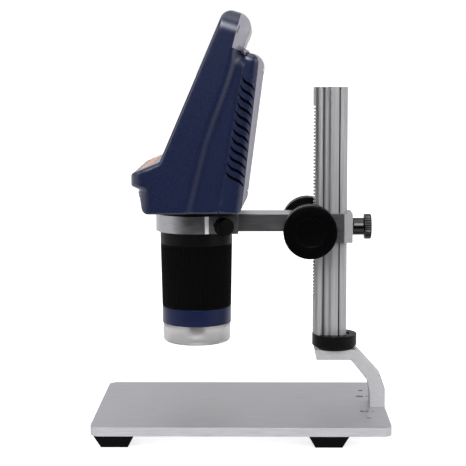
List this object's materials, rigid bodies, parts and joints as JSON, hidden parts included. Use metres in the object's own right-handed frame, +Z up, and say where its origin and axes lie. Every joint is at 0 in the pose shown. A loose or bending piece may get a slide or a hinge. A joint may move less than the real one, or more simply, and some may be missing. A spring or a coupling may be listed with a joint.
{
  "type": "lcd digital microscope",
  "caption": "Digital microscope with a leaning display head over a focusing barrel, clamped to a rack-and-pinion stand with a post, a bent bracket and a flat aluminium base.",
  "frame": {"origin": "on the table, at the middle of the base plate's outline", "axes": "+Z up, +X to the operator's right, +Y from the operator towards the post"},
  "size_m": [0.125, 0.2, 0.2881],
  "materials": {
    "anodised_aluminium": "satin anodised",
    "cast_aluminium": "satin, fine cast grain",
    "navy_abs": "fine satin texture",
    "grey_abs": "satin",
    "black_plastic": "satin",
    "black_anodised": "black anodised, satin",
    "zinc_steel": "bright zinc",
    "brass": "turned",
    "nylon": "matt",
    "rubber": "matt",
    "grip_rubber": "ribbed",
    "frosted_acrylic": "frosted",
    "circuit_board": "solder mask",
    "lamp_resin": "clear",
    "optical_glass": "coated",
    "display_glass": "polished",
    "lcd_panel": "polished",
    "orange_plastic": "satin"
  },
  "bodies": {
    "base": {"base_plate": "anodised_aluminium", "feet": "rubber", "foot_screws": "zinc_steel", "bracket": "cast_aluminium", "bracket_screws": "zinc_steel", "post": "anodised_aluminium", "post_screw": "zinc_steel", "rack": "anodised_aluminium", "post_collar": "black_plastic"},
    "carriage": {"carriage_block": "anodised_aluminium", "carriage_cap": "anodised_aluminium", "cap_screws": "zinc_steel", "pinion_bushes": "brass", "arm_bar": "anodised_aluminium", "arm_screws": "zinc_steel", "clamp_ring": "anodised_aluminium", "ring_screws": "zinc_steel"},
    "pinion": {"pinion_shaft": "zinc_steel", "knob_right": "black_plastic", "knob_left": "black_plastic", "knob_set_screws": "zinc_steel"},
    "lock_pad": {"lock_pad": "brass"},
    "lock_screw": {"lock_screw": "black_plastic"},
    "clamp_pad": {"clamp_pad": "nylon"},
    "clamp_screw": {"clamp_screw": "black_plastic"},
    "scope": {"barrel_tube": "black_anodised", "barrel_screws": "zinc_steel", "nose_ring": "navy_abs", "diffuser": "frosted_acrylic", "led_board": "circuit_board", "leds": "lamp_resin", "sensor_board": "circuit_board", "front_housing": "navy_abs", "rear_housing": "navy_abs", "rear_cover": "grey_abs", "top_cover": "grey_abs", "display_window": "display_glass", "lcd_panel": "lcd_panel", "main_board": "circuit_board", "board_screws": "zinc_steel", "key_board": "circuit_board", "dimmer_body": "black_plastic", "case_screws": "zinc_steel", "port_board": "circuit_board", "power_inlet": "black_plastic", "usb_port": "zinc_steel", "card_slot": "zinc_steel"},
    "focus_ring": {"focus_ring": "grip_rubber"},
    "lens_carrier": {"lens_carrier": "black_anodised", "objective_lenses": "optical_glass"},
    "dimmer": {"dimmer_wheel": "black_plastic"},
    "key_1": {"key_1": "orange_plastic"},
    "key_2": {"key_2": "orange_plastic"},
    "key_3": {"key_3": "orange_plastic"},
    "key_4": {"key_4": "orange_plastic"},
    "key_5": {"key_5": "orange_plastic"}
  },
  "joints": [
    {"name": "carriage_slide", "type": "slide", "parent": "base", "child": "carriage", "axis": [0, 0, 1], "range_m": [-0.044, 0.078]},
    {"name": "pinion_turn", "type": "hinge", "parent": "carriage", "child": "pinion", "pos_m": [0, 0.04665, 0.142], "axis": [1, 0, 0], "continuous": true},
    {"name": "lock_press", "type": "slide", "parent": "carriage", "child": "lock_pad", "axis": [0, 1, 0], "range_m": [0, 0.001]},
    {"name": "lock_turn", "type": "hinge", "parent": "lock_pad", "child": "lock_screw", "pos_m": [0, 0.08, 0.142], "axis": [0, 1, 0], "range_deg": [-2, 362]},
    {"name": "clamp_press", "type": "slide", "parent": "carriage", "child": "clamp_pad", "axis": [0.866, 0.5, 0], "range_m": [0, 0.0014]},
    {"name": "clamp_turn", "type": "hinge", "parent": "clamp_pad", "child": "clamp_screw", "pos_m": [0, -0.0312, 0.146], "axis": [0.866, 0.5, 0], "range_deg": [-2, 722]},
    {"name": "scope_turn", "type": "hinge", "parent": "carriage", "child": "scope", "pos_m": [0, -0.0312, 0.146], "axis": [0, 0, 1], "continuous": true},
    {"name": "focus_turn", "type": "hinge", "parent": "scope", "child": "focus_ring", "pos_m": [0, -0.0312, 0.11], "axis": [0, 0, 1], "range_deg": [-75, 225]},
    {"name": "lens_slide", "type": "slide", "parent": "scope", "child": "lens_carrier", "axis": [0, 0, 1], "range_m": [-0.0031, 0.0091]},
    {"name": "dimmer_turn", "type": "hinge", "parent": "scope", "child": "dimmer", "pos_m": [0.0375, -0.05958, 0.1695], "axis": [1, 0, 0], "range_deg": [-135, 135]},
    {"name": "key_1_press", "type": "slide", "parent": "scope", "child": "key_1", "axis": [0, 0.3827, -0.9239], "range_m": [0, 0.0005], "stiffness_N_per_m": 1200},
    {"name": "key_2_press", "type": "slide", "parent": "scope", "child": "key_2", "axis": [0, 0.3827, -0.9239], "range_m": [0, 0.0005], "stiffness_N_per_m": 1200},
    {"name": "key_3_press", "type": "slide", "parent": "scope", "child": "key_3", "axis": [0, 0.3827, -0.9239], "range_m": [0, 0.0005], "stiffness_N_per_m": 1200},
    {"name": "key_4_press", "type": "slide", "parent": "scope", "child": "key_4", "axis": [0, 0.3827, -0.9239], "range_m": [0, 0.0005], "stiffness_N_per_m": 1200},
    {"name": "key_5_press", "type": "slide", "parent": "scope", "child": "key_5", "axis": [0, 0.3827, -0.9239], "range_m": [0, 0.0005], "stiffness_N_per_m": 1200}
  ],
  "couplings": [
    {"joint": "pinion_turn", "follows": "carriage_slide", "rad_per_m": -266.67},
    {"joint": "lock_turn", "follows": "lock_press", "rad_per_m": 6283.2},
    {"joint": "clamp_turn", "follows": "clamp_press", "rad_per_m": 8975.9},
    {"joint": "lens_slide", "follows": "focus_turn", "m_per_rad": 0.0023}
  ]
}
